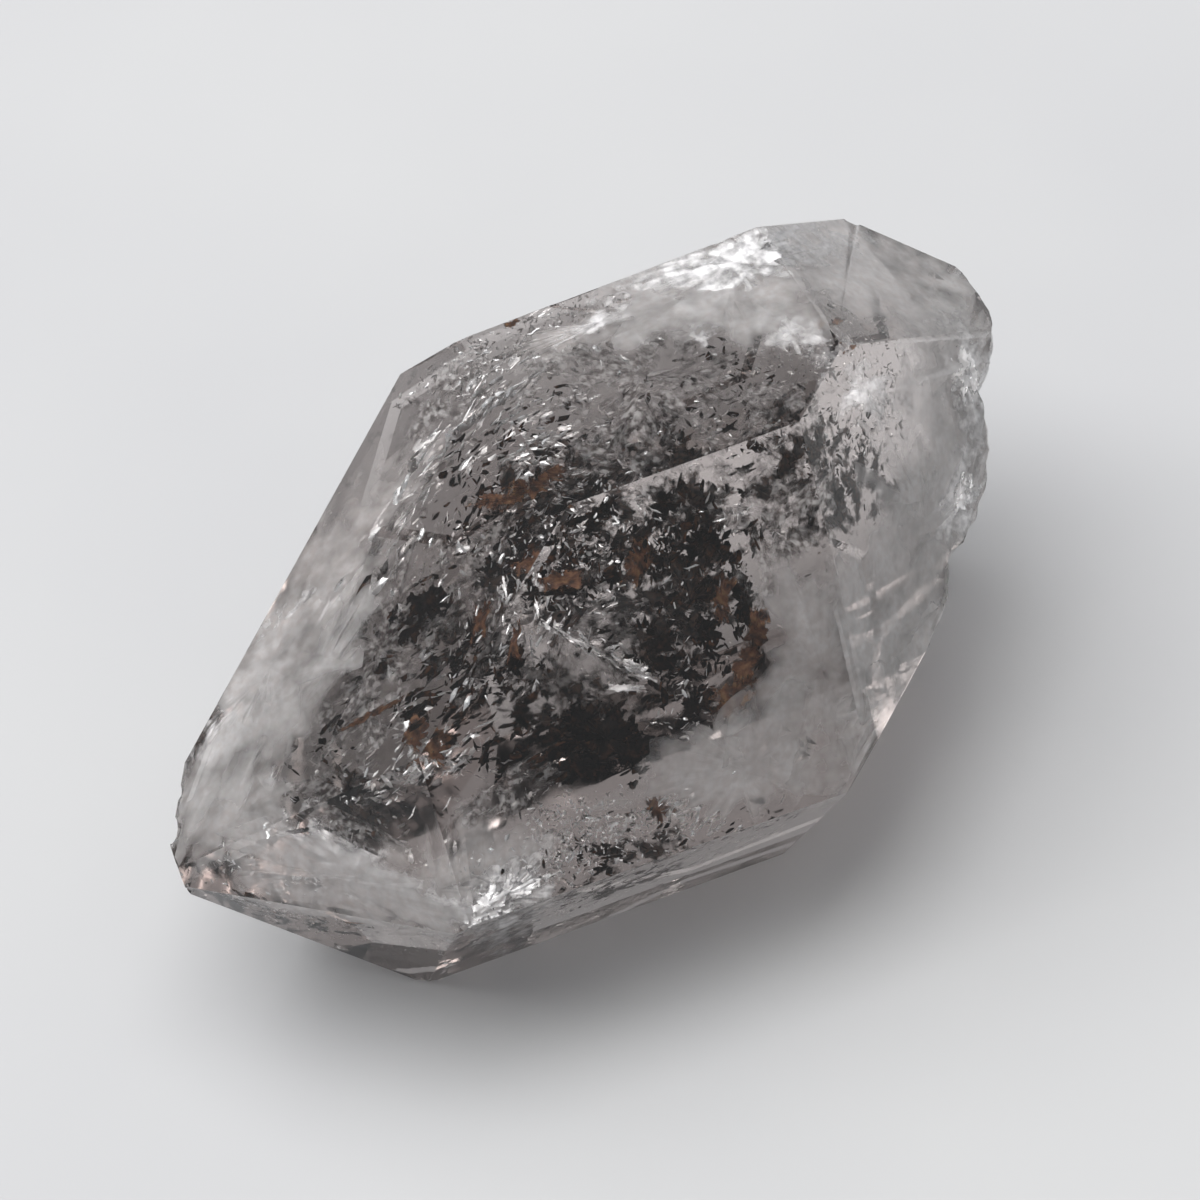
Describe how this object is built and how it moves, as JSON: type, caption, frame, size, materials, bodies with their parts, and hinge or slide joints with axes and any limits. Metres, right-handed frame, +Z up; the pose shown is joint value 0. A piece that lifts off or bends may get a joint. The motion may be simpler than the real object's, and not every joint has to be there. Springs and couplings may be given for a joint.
{
  "type": "herkimer diamond",
  "caption": "Clear quartz crystal, pointed at its left end and broken at its right, full of black flecks and silvery veils, lying on a prism face.",
  "frame": {"origin": "middle of the bounding box's base, on the flat prism face that the crystal rests on", "axes": "+X along the crystal's long (c) axis towards its broken end, +Z up, -Y towards the side that faces the viewer"},
  "size_m": [0.0396, 0.0242, 0.0207],
  "materials": {
    "quartz": "polished",
    "anthraxolite": "satin",
    "iron_stain": "matte",
    "veil": "satin"
  },
  "bodies": {
    "root": {"crystal": "quartz"}
  },
  "joints": []
}
